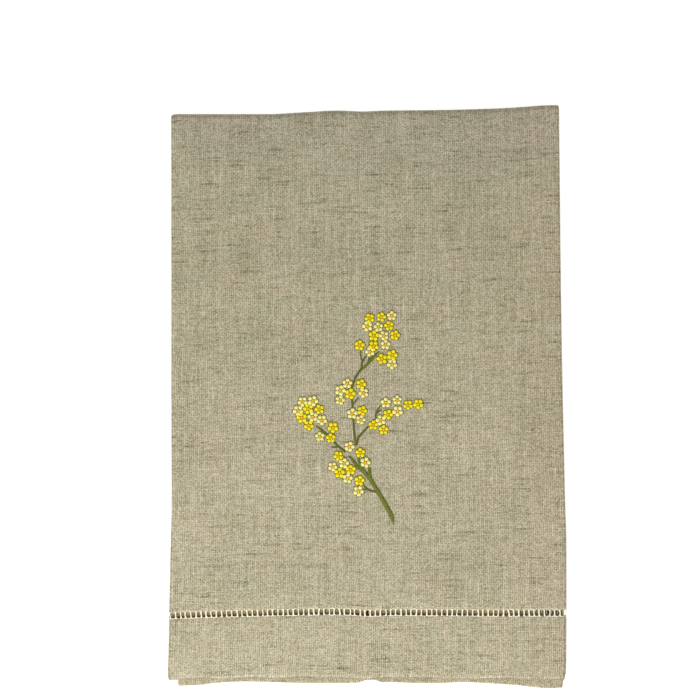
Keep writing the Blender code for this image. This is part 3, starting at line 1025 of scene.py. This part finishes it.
def make_stems(name, stems, slant, ridge, high, floss):
    """Stitched stems: a flat oval section carried along a smooth path of changing width.

    Slanted stitches show as ridges: the height swings with the length run plus the slant
    times the sideways place, once for each stitch. The edges step in and out with them.
    """
    rings = 96
    sides = 12
    edge_step = 0.1
    sunk = 0.1
    between_ridges = 0.8
    ridge_more = 0.35
    underside = 0.2
    all_points = []
    patterns = []
    for number, stem in enumerate(stems):
        through = np.array(stem).T
        steps = np.linalg.norm(np.diff(through[:, :2], axis=0), axis=1)
        keys = np.concatenate([[0.0], np.cumsum(steps)])
        run = np.linspace(0.0, keys[-1], rings)
        px, py, width = (smooth_line(keys, through[:, column], run) for column in range(3))
        tangent = np.stack([np.gradient(px), np.gradient(py)], axis=-1)
        tangent /= np.linalg.norm(tangent, axis=-1, keepdims=True)
        angle = np.linspace(0.0, 2 * np.pi, sides, endpoint=False)
        run, angle = np.meshgrid(run, angle, indexing="ij")
        stitched = 1.0 + edge_step * np.sin(2 * np.pi * run / STITCH_STEP)
        lateral = width[:, None] / 2 * stitched * np.cos(angle)
        swing = np.sin(np.pi * (run + slant * lateral) / ridge)
        relief_share = between_ridges + ridge_more * np.abs(swing)
        lift = high * relief_share * np.minimum(1.0, width[:, None])
        x = px[:, None] + tangent[:, 1:] * lateral
        y = py[:, None] - tangent[:, :1] * lateral
        z = face_height(x, y) - sunk + lift * np.maximum(np.sin(angle), -underside)
        all_points.append(np.stack([x, y, z], axis=-1))
        patterns.append(np.stack([run + slant * lateral, lateral + 4.0 * number], axis=-1))
    walls, caps = tube_faces(len(stems), rings, sides)
    points = np.stack(all_points)
    pattern = np.stack(patterns)
    return add_piece(name, points, walls, pattern, floss, caps=caps)


# The floor lies a hair lower than the cloth, so the two never share a plane
FLOOR_BELOW = 0.2


def make_floor():
    """A plain white board under the towel, bright enough to show no shadow from above."""
    half = 1.5
    level = -FLOOR_BELOW * MM
    mesh = bpy.data.meshes.new("floor")
    square = ((-half, -half), (half, -half), (half, half), (-half, half))
    corners = [(x, y, level) for x, y in square]
    mesh.from_pydata(corners, [], [(0, 1, 2, 3)])
    material, _, shader = new_material("matt_white_board")
    shader.inputs["Base Color"].default_value = srgb("f4f4f2")
    shader.inputs["Roughness"].default_value = 0.9
    shader.inputs["Emission Color"].default_value = srgb("ffffff")
    shader.inputs["Emission Strength"].default_value = 0.62
    mesh.materials.append(material)
    floor = bpy.data.objects.new("floor", mesh)
    bpy.context.scene.collection.objects.link(floor)


def look_at(thing, place, target):
    """Stands a light or camera at a place in metres, facing the target, with +Y up."""
    thing.location = place
    way = Vector(target) - Vector(place)
    thing.rotation_euler = way.to_track_quat("-Z", "Y").to_euler()


def add_light(name, place, target, size, power):
    """A square soft light in metres and watts."""
    lamp = bpy.data.lights.new(name, "AREA")
    lamp.size = size
    lamp.energy = power
    light = bpy.data.objects.new(name, lamp)
    bpy.context.scene.collection.objects.link(light)
    look_at(light, place, target)


def make_camera():
    """Straight above the photo's middle, with 315 mm of the towel's face in view."""
    distance = 3.0
    field = 0.315
    face = 0.0065
    middle = (-0.00765, 0.0207)
    data = bpy.data.cameras.new("camera")
    data.sensor_width = 36.0
    data.lens = data.sensor_width * distance / field
    camera = bpy.data.objects.new("camera", data)
    bpy.context.scene.collection.objects.link(camera)
    camera.location = (*middle, face + distance)
    bpy.context.scene.camera = camera


def make_studio():
    """Soft light from beyond the hem and an even bright room."""
    make_floor()
    make_camera()
    add_light(
        "key light", place=(-0.15, -0.5, 0.55), target=(0.0, 0.0, 0.0), size=0.35, power=5.25
    )
    world = bpy.data.worlds.new("room")
    world.use_nodes = True
    background = world.node_tree.nodes["Background"]
    background.inputs["Color"].default_value = srgb("ffffff")
    background.inputs["Strength"].default_value = 0.5
    bpy.context.scene.world = world
    bpy.context.scene.view_settings.view_transform = "Standard"


linen = linen_material()

# Spun cotton, tightly twisted: matt cream with fine ridges
sewing_thread = thread_material(
    "cotton_sewing_thread", light="fffbe8", tone_and_painted_shade="dcd2b4", strand=0.3, full=0.26,
    roughness=0.7,
)

# Mercerised cotton floss laid side by side: a soft gleam, and dark lines of painted shade between
# strands
bright_floss = thread_material(
    "bright_yellow_satin_floss", light="fff400", tone_and_painted_shade="604c04", strand=FLOSS_STRAND, full=0.28,
    roughness=0.45,
)
pale_floss = thread_material(
    "pale_yellow_satin_floss", light="fffaa2", tone_and_painted_shade="6c5c10", strand=FLOSS_STRAND, full=0.28,
    roughness=0.45,
)
orange_floss = thread_material(
    "orange_knotted_floss", light="f8bc00", tone_and_painted_shade="604000", strand=0.3, full=0.28
)
green_floss = thread_material(
    "green_satin_floss", light="7a8328", tone_and_painted_shade="262a04", strand=0.6, full=0.42, sheen=0.05
)
moss_floss = thread_material(
    "moss_stem_stitch_floss", light="707822", tone_and_painted_shade="262a04", strand=0.5, full=0.42, sheen=0.05
)

cloth = make_cloth(linen)
trim = [
    make_hem("front_hem", at_back=False, linen=linen),
    make_hem("back_hem", at_back=True, linen=linen),
]
for end, at_back in (("front", False), ("back", True)):
    trim.append(make_bars(f"{end}_bars", at_back, sewing_thread))
    trim.append(make_edge_threads(f"{end}_edge_threads", at_back, sewing_thread))

flowers, is_pale = flower_places()
trim.append(make_petals("bright_petals", flowers[~is_pale], bright_floss))
trim.append(make_petals("pale_petals", flowers[is_pale], pale_floss))
trim.append(make_knots("flower_knots", flowers, orange_floss))
trim.append(
    make_stems("satin_stems", SATIN_STEMS, slant=0.8, ridge=0.6, high=0.55, floss=green_floss)
)
trim.append(
    make_stems("fine_stems", FINE_STEMS, slant=1.6, ridge=1.4, high=0.5, floss=moss_floss)
)

make_studio()

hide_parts("towel")
